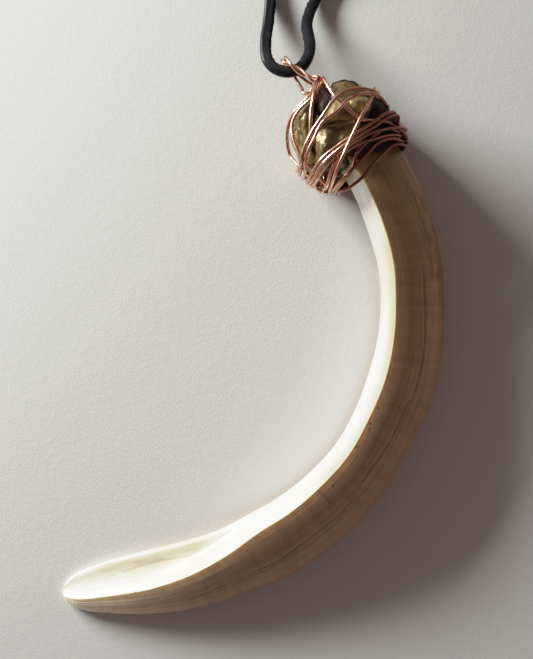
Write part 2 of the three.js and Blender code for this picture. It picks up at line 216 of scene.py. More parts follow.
def curve_through(points, per_span=24):
    """A dense line along a smooth curve through points of any number of dimensions."""
    p = np.array(points, float)
    p = np.vstack([2 * p[0] - p[1], p, 2 * p[-1] - p[-2]])
    t = np.linspace(0, 1, per_span, endpoint=False)[:, None]
    pieces = []
    for a, b, c, d in zip(p, p[1:], p[2:], p[3:]):
        before, here, after = (np.linalg.norm(v) ** 0.5 for v in (b - a, c - b, d - c))
        leaving = ((b - a) / before - (c - a) / (before + here) + (c - b) / here) * here
        arriving = ((c - b) / here - (d - b) / (here + after) + (d - c) / after) * here
        pieces.append((2 * t**3 - 3 * t**2 + 1) * b + (t**3 - 2 * t**2 + t) * leaving
                      + (3 * t**2 - 2 * t**3) * c + (t**3 - t**2) * arriving)
    return np.vstack([*pieces, p[-2]])


def even_steps(line, count, measured=3):
    """The line at evenly spaced places, by the distance in its first few dimensions."""
    run = np.linalg.norm(np.diff(line[:, :measured], axis=0), axis=1)
    run = np.concatenate([[0], np.cumsum(run)])
    at = np.linspace(0, run[-1], count)
    return np.column_stack([np.interp(at, run, column) for column in line.T])


def smooth_line(points, step, closed=False):
    """Points one step apart along a smooth curve through the given ones, closed or not."""
    line = curve_through([*points[-2:], *points, *points[:3]])[48:-48] if closed else curve_through(points)
    long = np.linalg.norm(np.diff(line, axis=0), axis=1).sum()
    steps = even_steps(line, max(2, round(long / step) + 1))
    return steps[:-1] if closed else steps


def soft_step(x):
    x = np.clip(x, 0, 1)
    return x * x * (3 - 2 * x)


def coil_points():
    """The coil's turns, each one moving over to the next in its last third."""
    whole = len(COIL_TURNS) - 1 + ((COIL_STARTS - COIL_ENDS) % 360) / 360
    points = []
    for i in range(round(0.08 * POINTS_A_TURN), round(whole * POINTS_A_TURN) - 1):
        turn = i / POINTS_A_TURN
        which = min(int(turn), len(COIL_TURNS) - 1)
        here, there = (np.array(COIL_TURNS[min(k, len(COIL_TURNS) - 1)]) for k in (which, which + 1))
        radius, height = here + (there - here) * soft_step((turn - which - 0.66) / 0.34)
        degrees = COIL_STARTS - 360 * turn
        over_tie = abs((degrees - TIE_AT + 180) % 360 - 180)
        height += TIE_THREAD * math.exp(-((over_tie / 14) ** 2))
        angle = math.radians(degrees)
        points.append((COIL_MIDDLE[0] + radius * math.cos(angle),
                       COIL_MIDDLE[1] + radius * math.sin(angle), height))
    return points


def smooth_mesh(points, faces):
    mesh = bpy.data.meshes.new("surface")
    mesh.from_pydata(points, [], faces)
    mesh.polygons.foreach_set("use_smooth", [True] * len(faces))
    return mesh


def skin(rings, closed=False):
    """A mesh over rings of points, with a lid on each open end. Its map gives how far along
    and how far round each place is, from 0 to 1."""
    rings = np.asarray(rings)
    count, around = rings.shape[:2]
    last = count if closed else count - 1
    faces, places = [], []
    for i in range(last):
        for j in range(around):
            corners = [(i, j), (i + 1, j), (i + 1, j + 1), (i, j + 1)]
            faces.append([(a % count) * around + b % around for a, b in corners])
            places += [(a / last, b / around) for a, b in corners]
    points = rings.reshape(-1, 3).tolist()
    if not closed:
        for i, backwards in ((0, False), (count - 1, True)):
            points.append(rings[i].mean(0).tolist())
            for j in range(around):
                pair = [(i, j), (i, j + 1)]
                corners = pair[::-1] if backwards else pair
                faces.append([len(points) - 1] + [a * around + b % around for a, b in corners])
                places += [(i / last, (j + 0.5) / around)] + [(a / last, b / around) for a, b in corners]
    mesh = smooth_mesh(points, faces)
    mesh.uv_layers.new(name="along_and_round").data.foreach_set("uv", np.array(places).ravel())
    mesh.update()
    return mesh


def show(name, mesh, *materials):
    """Puts a finished mesh in the scene, as a piece with this name."""
    mesh.name = name
    for material in materials:
        mesh.materials.append(material)
    return put(name, mesh)


def frames_along(line, closed=False):
    """For each place on a line: the level way to its left, and the way up from it."""
    ahead = np.roll(line, -1, 0) - np.roll(line, 1, 0) if closed else np.gradient(line, axis=0)
    ahead /= np.linalg.norm(ahead, axis=1)[:, None]
    left = np.cross([0, 0, 1], ahead)
    left /= np.linalg.norm(left, axis=1)[:, None]
    return left, np.cross(ahead, left)


def lace_rings(line, closed):
    """The lace's section at each place: a strip with round edges, ragged on its inner side."""
    left, up = frames_along(line, closed)
    rings = []
    for place, side, rise in zip(line, left, up):
        ring = []
        for k in range(LACE_SIDES):
            angle = -2 * math.pi * k / LACE_SIDES
            across, high = math.cos(angle), math.sin(angle)
            boxy = (abs(across) ** 3.6 + abs(high) ** 3.6) ** (-1 / 3.6)
            point = place + side * across * boxy * LACE_WIDE / 2 + rise * high * boxy * LACE_THICK / 2
            ragged = noise.noise(Vector(point) / (0.8 * MM)) + 0.8 * noise.noise(Vector(point) / (0.33 * MM))
            inner = soft_step((-0.2 - across) / 0.6)
            worn = noise.noise(Vector(point) / (5 * MM))
            bulge = 0.06 * MM * worn + 0.28 * MM * inner * (ragged - 0.3)
            ring.append(point + (side * across + rise * high) * bulge)
        rings.append(ring)
    return rings


def leather_grain():
    """The pebbled surface of leather, as a height."""
    group = bpy.data.node_groups.new("leather_grain", "ShaderNodeTree")
    for name, way in (("Pebble Scale", "INPUT"), ("Height", "OUTPUT")):
        group.interface.new_socket(name, in_out=way, socket_type="NodeSocketFloat")
    given = add(group, "NodeGroupInput")
    place = add(group, "ShaderNodeTexCoord").outputs["Object"]
    warp = add(group, "ShaderNodeTexNoise", {"Vector": place, "Scale": 700, "Detail": 2})
    moved = add(group, "ShaderNodeVectorMath", {0: warp.outputs["Color"], 1: [PEBBLE_WARP] * 3, 2: place},
                operation="MULTIPLY_ADD")
    pebbles = add(group, "ShaderNodeTexVoronoi", {"Vector": moved.outputs[0], "Scale": given.outputs[0]})
    height = math_node(group, "SUBTRACT", noise_at(group, place, 4200, 4), pebbles.outputs["Distance"])
    add(group, "NodeGroupOutput", {"Height": height})
    return group


grain_group = leather_grain()


def grained(tree, pebble_scale, strength):
    """The way that a leather's surface faces, with its grain."""
    grain = add(tree, "ShaderNodeGroup", {"Pebble Scale": pebble_scale}, node_tree=grain_group)
    return bumped(tree, grain.outputs["Height"], strength, 0.0001)


def times(tree, first, *others):
    """The product of two or more values."""
    for other in others:
        first = math_node(tree, "MULTIPLY", first, other)
    return first


def mixed(tree, factor, first, second, blend="MIX"):
    """Two colours mixed by a factor."""
    node = add(tree, "ShaderNodeMix", {"Factor": factor, 6: first, 7: second}, data_type="RGBA",
               blend_type=blend)
    return node.outputs[2]


def black_leather():
    """Dyed leather: blue-black and softly glossy where smooth, dull and browner where cut."""
    material, tree = new_material("black_leather")
    place = add(tree, "ShaderNodeTexCoord").outputs
    along = add(tree, "ShaderNodeSeparateXYZ", {"Vector": place["UV"]})
    across = math_node(tree, "COSINE", times(tree, along.outputs["Y"], 2 * math.pi))
    cut = add(tree, "ShaderNodeMapRange", {"Value": across, "From Min": 0.2, "From Max": -0.5}).outputs[0]
    worn = noise_at(tree, place["Object"], 420, 5)
    smooth = ramp(tree, worn, [(0.3, 0.0025, 0.0035, 0.0045), (0.75, 0.008, 0.011, 0.014)])
    suede = ramp(tree, worn, [(0.35, 0.003, 0.003, 0.0035), (0.7, 0.014, 0.014, 0.015)])
    shade(tree, {"Base Color": mixed(tree, cut, smooth, suede), "Specular IOR Level": 0.22,
                 "Roughness": math_node(tree, "MULTIPLY_ADD", cut, 0.54, 0.36),
                 "Normal": grained(tree, 2300, 0.4)})
    return material


black = black_leather()
lace_line = smooth_line([*LACE_LEFT, *coil_points(), *LACE_RIGHT], LACE_STEP, closed=True)
lace = show("leather_lace", skin(lace_rings(lace_line, closed=True), closed=True), black)
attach(lace, "root")
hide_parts("lace", "lace_coil")

# ---------------- knot and tie
# The lace's two ends are knotted together: each wraps round the other, and the tails are
# left. The coil is held by a few turns of waxed thread, knotted on top.

KNOT_MIDDLE = (0.0355, 0.1185, 0.0037)
KNOT_TAILS = [
    [(0.0357, 0.1178, 0.0034), (0.0402, 0.1170, 0.0025), (0.0440, 0.1149, 0.0016)],
    [(0.0357, 0.1192, 0.0038), (0.0404, 0.1201, 0.0027), (0.0448, 0.1206, 0.0016)],
]
KNOT_AXIS, KNOT_TURNS = -12, 2.3  # the way that the tails leave, in degrees, and the wraps
TIE_TURNS = 4
# Half of the coil's outline, from its underside to its top, in millimetres.
COIL_BUNDLE = [(1.5, 0.42), (3.4, 0.42), (4.7, 0.62), (5.2, 1.5), (4.7, 2.7), (3.7, 4.8), (2.4, 6.6),
               (1.0, 7.2)]


def join(meshes):
    """One mesh made of several, which keeps their maps."""
    pieces = [show("part", mesh) for mesh in meshes]
    with bpy.context.temp_override(active_object=pieces[0], selected_editable_objects=pieces):
        bpy.ops.object.join()
    whole = pieces[0].data
    bpy.data.objects.remove(pieces[0])
    return whole


def knot_wraps():
    """Two turns of lace, side by side, round the pair of strands in the knot."""
    axis = np.array([math.cos(math.radians(KNOT_AXIS)), math.sin(math.radians(KNOT_AXIS)), -0.12])
    axis /= np.linalg.norm(axis)
    side = np.cross([0, 0, 1], axis)
    rise = np.cross(axis, side)
    points = []
    for share in np.linspace(0, 1, 49):
        turn = 2 * math.pi * (share * KNOT_TURNS - 0.1)
        pull = 1 - 0.75 * max(0, abs(2 * share - 1) - 0.8) / 0.2
        points.append(np.array(KNOT_MIDDLE) + axis * (2 * share - 1) * 1.9 * MM
                      + side * math.cos(turn) * 2.4 * MM * pull + rise * math.sin(turn) * 1.5 * MM * pull)
    return smooth_line(points, LACE_STEP)


def strand_along_a_line():
    """A tree that lays a round strand along a curve."""
    tree = bpy.data.node_groups.new("strand_along_a_line", "GeometryNodeTree")
    for name, kind in (("Line", "Geometry"), ("Radius", "Float"), ("Sides", "Int"), ("Finish", "Material")):
        tree.interface.new_socket(name, in_out="INPUT", socket_type="NodeSocket" + kind)
    tree.interface.new_socket("Strand", in_out="OUTPUT", socket_type="NodeSocketGeometry")
    given = add(tree, "NodeGroupInput").outputs
    section = add(tree, "GeometryNodeCurvePrimitiveCircle",
                  {"Resolution": given["Sides"], "Radius": given["Radius"]})
    strand = add(tree, "GeometryNodeCurveToMesh",
                 {"Curve": given["Line"], "Profile Curve": section.outputs["Curve"], "Fill Caps": True})
    smooth = add(tree, "GeometryNodeSetShadeSmooth", {"Geometry": strand.outputs["Mesh"]})
    real = add(tree, "GeometryNodeRealizeInstances", {"Geometry": smooth.outputs["Geometry"]})
    finished = add(tree, "GeometryNodeSetMaterial",
                   {"Geometry": real.outputs["Geometry"], "Material": given["Finish"]})
    add(tree, "NodeGroupOutput", {"Strand": finished.outputs["Geometry"]})
    return tree


strand_tree = strand_along_a_line()


def made_plain(piece):
    """The mesh that a piece's modifiers make, in place of the piece."""
    mesh = bpy.data.meshes.new_from_object(piece.evaluated_get(bpy.context.evaluated_depsgraph_get()))
    bpy.data.objects.remove(piece)
    return mesh


def strand_mesh(lines, radius, sides, finish):
    """A mesh of round strands, one along each line of points."""
    curve = bpy.data.curves.new("strand", "CURVE")
    curve.dimensions = "3D"
    for line in lines:
        spline = curve.splines.new("POLY")
        spline.points.add(len(line) - 1)
        spline.points.foreach_set("co", np.column_stack([line, np.ones(len(line))]).ravel())
    piece = put("strand", curve)
    modifier = piece.modifiers.new("strand", "NODES")
    modifier.node_group = strand_tree
    values = {"Radius": radius, "Sides": sides, "Finish": finish}
    for socket in strand_tree.interface.items_tree:
        if socket.in_out == "INPUT" and socket.name in values:
            modifier[socket.identifier] = values[socket.name]
    return made_plain(piece)


def thread_round_the_coil():
    """Turns of thread round the coil's bundle, side by side, and the knot's two ends."""
    half = np.array([(out * MM, up * MM) for out, up in COIL_BUNDLE])
    loop = np.vstack([half, half[::-1] * [-1, 1]])
    loop = np.vstack([loop, loop[:1]])
    angle = math.radians(TIE_AT)
    outward = np.array([math.cos(angle), math.sin(angle), 0])
    beside = np.array([-math.sin(angle), math.cos(angle), 0])
    middle = np.array([*COIL_MIDDLE, 0]) + outward * COIL_TURNS[-1][0]
    points = []
    for turn in range(TIE_TURNS):
        for k, (out, up) in enumerate(loop[:-1]):
            over = (turn + k / (len(loop) - 1) - TIE_TURNS / 2) * TIE_THREAD
            points.append(middle + outward * out + beside * over + np.array([0, 0, up]))
    top = middle + np.array([0, 0, COIL_BUNDLE[-1][1] * MM + TIE_THREAD])
    ends = [[top, top + beside * way * 2.2 * MM + outward * 0.8 * MM + np.array([0, 0, 0.1 * MM]),
             top + beside * way * 4 * MM + outward * 2.4 * MM - np.array([0, 0, 0.6 * MM])]
            for way in (-1, 1)]
    return [smooth_line(points, 0.4 * MM), *(smooth_line(end, 0.4 * MM) for end in ends)]


knot_lines = [knot_wraps(), *(smooth_line(tail, LACE_STEP) for tail in KNOT_TAILS)]
knot = show("lace_end_knot", join([skin(lace_rings(line, closed=False)) for line in knot_lines]), black)
tie = show("coil_thread", strand_mesh(thread_round_the_coil(), TIE_THREAD / 2, 10, black))
for piece, node in ((knot, "lace_knot"), (tie, "coil_tie")):
    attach(piece, "root")
    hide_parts(node)

# ---------------- tusk
# The tusk is one grown tooth: a white inner face that the upper tusk has ground hollow near
# the tip, a long ridge, and a wide side face with growth bands and one long fine crack.

# From root to tip: x and y of the middle, width, thickness, how far across the ridge runs,
# and how high the underside lies, all in millimetres but the ridge's share.
TUSK_STATIONS = [
    (24, 65, 15, 13, 0.16, 4.2), (31.5, 56, 17.5, 15, 0.15, 3.7), (37.9, 46.5, 18.5, 16, 0.16, 3.2),
    (43, 34, 19, 16.5, 0.18, 2.6), (46.3, 22, 18.8, 16.5, 0.17, 2), (47.2, 10, 18.7, 16.5, 0.16, 1.5),
    (46.5, -2, 19.2, 17, 0.17, 1), (44, -14.1, 20.2, 17.5, 0.18, 0.6), (39, -26.1, 19.4, 17.5, 0.17, 0.3),
    (32.6, -37.7, 19.6, 17.5, 0.17, 0.1), (23.7, -48.2, 20.6, 17, 0.17, 0.05),
    (14.7, -55.6, 20.9, 16, 0.19, 0.1), (4.1, -62, 21.3, 14.5, 0.22, 0.2),
    (-6.9, -67, 20.4, 12.5, 0.33, 0.25), (-17.9, -70.5, 20.2, 10.5, 0.45, 0.25),
    (-29.9, -73, 19.1, 8.5, 0.55, 0.15), (-42, -74.7, 16, 6.5, 0.61, 0.05),
    (-52.5, -76.2, 10.7, 4.2, 0.66, 0.05), (-57, -76.6, 3.6, 1.8, 0.66, 0.5),
]
TUSK_RINGS = 400
INNER_SIDES, FACE_SIDES, UNDER_SIDES = 45, 66, 39
RIDGE_AT = INNER_SIDES / (INNER_SIDES + FACE_SIDES + UNDER_SIDES)  # how far round the ridge is
WEAR_BEGINS, WEAR_FULL = 0.62, 0.80  # how far along the ground hollow starts and is deepest
# The growth crease and the long crack that follows it: how far along, and how far round.
CREASE = [(0.24, 0.510), (0.265, 0.514), (0.31, 0.522), (0.35, 0.535), (0.39, 0.528), (0.41, 0.524),
          (0.43, 0.506), (0.455, 0.512), (0.49, 0.508), (0.508, 0.498), (0.5285, 0.486), (0.55, 0.495)]
CRACK = [(0.56, 0.520), (0.6, 0.527), (0.63, 0.524), (0.653, 0.523), (0.694, 0.545), (0.723, 0.529),
         (0.75, 0.512), (0.78, 0.520), (0.83, 0.531)]

# The smaller marks: pits and chips, a yellow streak and a tan groove along the inner face, and
# a dark streak along the side face.
PITS = [(0.4445, 0.328), (0.469, 0.326), (0.507, 0.321), (0.573, 0.359), (0.543, 0.488), (0.895, 0.297),
        (0.980, 0.283)]
YELLOW_STREAK = [(0.19, 0.040), (0.218, 0.034), (0.26, 0.023), (0.298, 0.112), (0.33, 0.14)]
WORN_GROOVE = [(0.77, 0.118), (0.81, 0.107), (0.87, 0.089), (0.915, 0.107), (0.95, 0.125)]
DARK_STREAK = [(0.10, 0.61), (0.134, 0.61), (0.175, 0.60), (0.202, 0.606), (0.228, 0.61), (0.253, 0.64),
               (0.28, 0.65)]
TUSK_LENGTH, TUSK_ROUND = 215, 56  # millimetres, for the marks' sizes


def tusk_outline(ridge, hollow):
    """The tusk's section as shares of its width and thickness: up the inner face, over the
    ridge, down the side face and back underneath. Hollow is how far the tip is ground."""
    side = 1 - ridge
    grown = np.array([(0, 0.16), (0.14, 0.34), (0.36, 0.58), (0.64, 0.8), (0.9, 0.965)])
    ground = np.array([(0, 0.3), (0.1, 0.42), (0.42, 0.47), (0.74, 0.7), (0.94, 0.94)])
    inner = (grown * (1 - hollow) + ground * hollow) * [ridge, 1]
    rest = [(ridge, 1), (ridge + 0.05 * side, 0.985), (ridge + 0.2 * side, 0.92), (ridge + 0.5 * side, 0.79),
            (ridge + 0.84 * side, 0.555), (1, 0.34), (0.94, 0.13), (0.76, 0.02), (0.45, 0), (0.13, 0.03),
            (0, 0.16 + 0.14 * hollow)]
    dense = 12
    line = curve_through(np.vstack([inner, rest]), dense)
    corners = [0, len(inner) * dense, (len(inner) + 5) * dense, len(line) - 1]
    pieces = [even_steps(line[a:b + 1], sides + 1, 2)[:-1]
              for a, b, sides in zip(corners, corners[1:], (INNER_SIDES, FACE_SIDES, UNDER_SIDES))]
    return np.vstack(pieces)


def groove(line, along, round_it, wide):
    """How fully a place lies in a groove that follows a line, from 0 to 1."""
    if not line[0][0] < along < line[-1][0]:
        return 0
    ends = min(1, (along - line[0][0]) / 0.02, (line[-1][0] - along) / 0.02)
    return ends * math.exp(-((round_it - np.interp(along, *zip(*line))) / wide) ** 2)


def tusk_relief(along, round_it, place):
    """How far the surface stands off the plain form: slow swells, faint long flutes, growth
    bands, the crease and the crack."""
    flutes = noise.noise(Vector((along * 7, round_it * 34, 3)))
    swell = noise.noise(place / (14 * MM))
    bands = noise.noise(Vector((along * 60, round_it * 2, 8)))
    calm = 0.4 if round_it < RIDGE_AT else 1
    cut = 0.16 * groove(CREASE, along, round_it, 0.009) + 0.13 * groove(CRACK, along, round_it, 0.005)
    return (0.06 * flutes * calm + 0.12 * swell + 0.035 * bands * calm - 0.1 - cut) * MM


def tusk_rings():
    rows = even_steps(curve_through(TUSK_STATIONS), TUSK_RINGS, 2)
    ahead = np.gradient(rows[:, :2], axis=0)
    ahead /= np.linalg.norm(ahead, axis=1)[:, None]
    rings = []
    for i, ((x, y, width, thick, ridge, lift), way) in enumerate(zip(rows, ahead)):
        along = i / (TUSK_RINGS - 1)
        hollow = float(soft_step((along - WEAR_BEGINS) / (WEAR_FULL - WEAR_BEGINS)))
        shares = tusk_outline(ridge, hollow)
        outward = np.array([-way[1], way[0]])
        flat = (shares - [0.5, 0]) * [width, thick]
        turned = np.roll(flat, -1, 0) - np.roll(flat, 1, 0)
        turned /= np.linalg.norm(turned, axis=1)[:, None]
        tip = min(1, (1 - along) / 0.004) ** 0.5
        ring = []
        for j, ((across, up), (tx, tz)) in enumerate(zip(flat, turned)):
            point = Vector((x + outward[0] * across * tip, y + outward[1] * across * tip,
                            lift + thick / 2 + (up - thick / 2) * tip)) * MM
            off = tusk_relief(along, j / len(flat), point) * tip
            ring.append(point + Vector((-outward[0] * tz, -outward[1] * tz, tx)) * off)
        rings.append(ring)
    return rings


def line_curve(tree, along, line):
    """The place round the tusk of a line that follows it, as a node's value."""
    node = add(tree, "ShaderNodeFloatCurve", {"Value": along})
    curve = node.mapping.curves[0]
    curve.points[0].location = (0, line[0][1])
    curve.points[1].location = (1, line[-1][1])
    for place in line:
        curve.points.new(*place)
    node.mapping.update()
    return node.outputs[0]


def ranged(tree, value, low, high, to_low=0.0, to_high=1.0):
    """A value's place between two others, eased at both ends."""
    inputs = {"Value": value, "From Min": low, "From Max": high, "To Min": to_low, "To Max": to_high}
    return add(tree, "ShaderNodeMapRange", inputs, interpolation_type="SMOOTHSTEP").outputs[0]


def map_noise(tree, scale, detail, rough=0.55):
    """Noise stretched over the tusk's map: so many features along it, so many round it."""
    place = add(tree, "ShaderNodeTexCoord").outputs["UV"]
    stretch = add(tree, "ShaderNodeMapping", {"Vector": place, "Scale": (*scale, 1)})
    return noise_at(tree, stretch.outputs[0], 1.0, detail, rough)


def patch_mask(tree, along, round_it, begins, ends, low, high, soft=0.02):
    """1 inside a stretch of the tusk's map and 0 outside, with soft edges."""
    return times(tree, ranged(tree, along, begins - 2 * soft, begins + 2 * soft),
                 ranged(tree, along, ends + 2 * soft, ends - 2 * soft),
                 ranged(tree, round_it, low - soft, low + soft),
                 ranged(tree, round_it, high + soft, high - soft))


def side_face(tree, along, round_it, streaks, bands):
    """The long side: brown by the root, paler to the tip, partly as painted light there, streaked along and
    banded across.
    """
    # The last stops, at the tip, are lightened partly as painted light, for the brighter light on the tip's
    # side.
    grown = ramp(tree, along, [
        (0.0, 0.34, 0.21, 0.085), (0.13, 0.37, 0.24, 0.1), (0.27, 0.46, 0.305, 0.15),
        (0.5, 0.465, 0.32, 0.185), (0.72, 0.48, 0.34, 0.205), (0.82, 0.54, 0.41, 0.28),
        (0.88, 0.7, 0.58, 0.42), (0.94, 0.97, 0.9, 0.7), (1.0, 1.0, 0.95, 0.8)])
    by_ridge = times(tree, ranged(tree, round_it, RIDGE_AT + 0.13, RIDGE_AT + 0.015),
                     ranged(tree, along, 0.15, 0.6, 0.2, 1.0))
    colour = mixed(tree, by_ridge, grown, (0.98, 0.8, 0.5, 1))
    reddish = times(tree, patch_mask(tree, along, round_it, 0.24, 0.38, 0.545, 0.655), 0.55)
    colour = mixed(tree, reddish, colour, (0.66, 0.42, 0.28, 1))
    dark = ramp(tree, streaks, [(0.3, 0.62, 0.55, 0.48), (0.46, 0.95, 0.94, 0.92), (0.7, 1.12, 1.12, 1.1)])
    colour = mixed(tree, 0.85, colour, dark, "MULTIPLY")
    faint = ramp(tree, bands, [(0.35, 0.86, 0.83, 0.8), (0.6, 1.06, 1.06, 1.06)])
    colour = mixed(tree, 0.75, colour, faint, "MULTIPLY")
    stained = times(tree, patch_mask(tree, along, round_it, 0.05, 0.285, 0.57, 0.72, 0.03),
                    ranged(tree, map_noise(tree, (26, 14), 3), 0.42, 0.62), 0.7)
    return mixed(tree, stained, colour, (0.2, 0.11, 0.045, 1))


def inner_face(tree, along, round_it, clouds):
    """The inner face: lightened by the wire as painted light, against the shadow that the cap casts
    there, yellowed below it, white further down, and worn cream with tan patches where it is ground."""
    # The first stops of both ramps, by the root, are painted light: lightened against the shadow of the cap
    # and wire.
    near_ridge = ramp(tree, along, [
        (0.08, 0.86, 0.78, 0.66), (0.14, 0.8, 0.75, 0.66), (0.21, 0.42, 0.39, 0.27),
        (0.33, 0.39, 0.36, 0.245), (0.4, 0.44, 0.42, 0.34), (0.56, 0.4, 0.38, 0.32),
        (0.62, 0.8, 0.77, 0.67), (1.0, 0.86, 0.83, 0.72)])
    below = ramp(tree, along, [
        (0.08, 0.98, 0.93, 0.84), (0.15, 0.88, 0.86, 0.8), (0.26, 0.66, 0.62, 0.46),
        (0.36, 0.84, 0.82, 0.72), (0.72, 0.86, 0.83, 0.7), (0.8, 0.8, 0.75, 0.6),
        (0.87, 0.77, 0.71, 0.54), (0.95, 0.88, 0.84, 0.72), (1.0, 0.86, 0.82, 0.7)])
    colour = mixed(tree, ranged(tree, round_it, 0.12, RIDGE_AT - 0.01), below, near_ridge)
    cloud = ramp(tree, clouds, [(0.32, 0.9, 0.86, 0.76), (0.55, 1.0, 1.0, 1.0)])
    colour = mixed(tree, 0.8, colour, cloud, "MULTIPLY")
    tan = times(tree, ranged(tree, map_noise(tree, (22, 30), 4, 0.6), 0.5, 0.66),
                ranged(tree, along, WEAR_BEGINS + 0.08, WEAR_FULL), ranged(tree, round_it, 0.2, 0.09), 0.6)
    return mixed(tree, tan, colour, (0.56, 0.44, 0.24, 1))


def tusk_ivory():
    """Tooth: white inside, brown and streaked along its side face, with a painted yellow glow
    along the ridge, a dark crease and a hairline crack."""
    material, tree = new_material("tusk_ivory")
    place = add(tree, "ShaderNodeTexCoord").outputs
    on_map = add(tree, "ShaderNodeSeparateXYZ", {"Vector": place["UV"]}).outputs
    along, round_it = on_map["X"], on_map["Y"]
    streaks = map_noise(tree, (5, 60), 6, 0.6)
    bands = map_noise(tree, (75, 2.5), 3)
    clouds = noise_at(tree, place["Object"], 70, 5)
    past_ridge = ranged(tree, round_it, RIDGE_AT - 0.004, RIDGE_AT + 0.008)
    colour = mixed(tree, past_ridge, inner_face(tree, along, round_it, clouds),
                   side_face(tree, along, round_it, streaks, bands))
    # A yellow line along the ridge is painted light: the glow of light through the thin ridge.
    off_ridge = math_node(tree, "ABSOLUTE", math_node(tree, "SUBTRACT", round_it, RIDGE_AT + 0.004))
    painted_ridge_glow = times(tree, ranged(tree, off_ridge, 0.016, 0.004), ranged(tree, along, 0.95, 0.75, 0.2, 0.8))
    colour = mixed(tree, painted_ridge_glow, colour, (0.6, 0.5, 0.24, 1))
    waver = times(tree, math_node(tree, "SUBTRACT", map_noise(tree, (160, 8), 3), 0.5), 0.006)
    wavering = math_node(tree, "ADD", round_it, waver)
    broken = ranged(tree, map_noise(tree, (45, 4), 3), 0.36, 0.5)
    for line, wide, deep, tint in ((YELLOW_STREAK, 0.022, 0.4, (0.6, 0.47, 0.2, 1)),
                                   (WORN_GROOVE, 0.010, 0.5, (0.47, 0.36, 0.19, 1)),
                                   (DARK_STREAK, 0.012, 0.45, (0.13, 0.07, 0.03, 1)),
                                   (CREASE, 0.006, 0.7, (0.12, 0.065, 0.03, 1)),
                                   (CRACK, 0.0034, 0.95, (0.09, 0.05, 0.025, 1))):
        off = math_node(tree, "SUBTRACT", wavering, line_curve(tree, along, line))
        mark = times(tree, ranged(tree, math_node(tree, "ABSOLUTE", off), wide, wide * 0.2),
                     ranged(tree, along, line[0][0], line[0][0] + 0.03),
                     ranged(tree, along, line[-1][0], line[-1][0] - 0.03), broken, deep)
        colour = mixed(tree, mark, colour, tint)
    notch = times(tree, patch_mask(tree, along, round_it, 0.592, 0.594, 0.32, 0.43, 0.0012), 0.45)
    colour = mixed(tree, notch, colour, (0.14, 0.08, 0.04, 1))
    millimetres = Vector((TUSK_LENGTH, TUSK_ROUND, 0))
    laid_flat = add(tree, "ShaderNodeVectorMath", {0: place["UV"], 1: millimetres}, operation="MULTIPLY")
    for pit in PITS:
        ends = {0: laid_flat.outputs[0], 1: millimetres * Vector((*pit, 0))}
        far = add(tree, "ShaderNodeVectorMath", ends, operation="DISTANCE").outputs["Value"]
        colour = mixed(tree, ranged(tree, far, 0.55, 0.2, 0.0, 0.75), colour, (0.12, 0.07, 0.035, 1))
    pores = add(tree, "ShaderNodeTexVoronoi", {"Vector": place["Object"], "Scale": 230}).outputs
    pore = times(tree, ranged(tree, pores["Distance"], 0.16, 0.07),
                 ranged(tree, pores["Color"], 0.86, 0.9), 0.7)
    colour = mixed(tree, pore, colour, (0.1, 0.06, 0.03, 1))
    fine = math_node(tree, "ADD", map_noise(tree, (14, 160), 4), times(tree, bands, 0.6))
    fine = math_node(tree, "SUBTRACT", fine, pore)
    shade(tree, {"Base Color": colour, "Roughness": ranged(tree, streaks, 0.35, 0.65, 0.42, 0.28),
                 "Normal": bumped(tree, fine, 0.25, 0.00012), "Subsurface Weight": 0.3,
                 "Subsurface Radius": (0.9, 0.65, 0.38), "Subsurface Scale": 0.0022})
    return material


tusk = show("boar_tusk", skin(tusk_rings()), tusk_ivory())
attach(tusk, "root")
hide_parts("tusk")

# ---------------- leather cap
# A square of gold-finished leather is folded over the root like a bag, its corners tucked
# under each other. Its cut edges are dark, and the wire holds it on.

HEAD = (26.8, 58.4, 11.5)  # millimetres: the middle of the pendant's head
CAP_REACH, CAP_RISE, CAP_DROP = 15.8, 11.8, 9.8
CAP_FOLDS = [(112, 0.10, 16), (47, 0.15, 20), (200, 0.07, 14), (262, 0.05, 18)]
CAP_ROUND, CAP_UP = 200, 100
# The bag's mouth: a place on its edge, its middle, and the way that it opens. Past the inner
# side, in y, the wire presses the bag flat.
MOUTH_AT, MOUTH_MIDDLE, MOUTH_TURN = (27.3, 49.6), (35.2, 50.1, 11.2), -66
INNER_SIDE = 49.6
# How far back from its mouth the bag is drawn in, and the share of its width and height lost.
DRAWN_LONG, DRAWN_ACROSS, DRAWN_UPRIGHT = 4.5, 0.27, 0.17
# The head falls away past two lines, the crest of the folds and the tusk's ridge: a place on
# each line, and the way that the head falls from it, in degrees.
CRESTS = [(32, 64.3, -24), (26.4, 52.6, 33)]
FALL_SLOPE, FALL_ROUND = 0.8, 2
LEATHER_THICK = 1.1  # millimetres
UNDER_THE_FOLDS = 3.4  # how much lower the bag lies than the sheets folded over it
SHEET_CELLS, RAW_CELLS = 10, 3  # a sheet's cells between two given places, and its raw edge's
RAGGED, EDGE_ROUND = 0.35, 0.22  # how far a sheet's edge strays, and how it is rounded, in millimetres
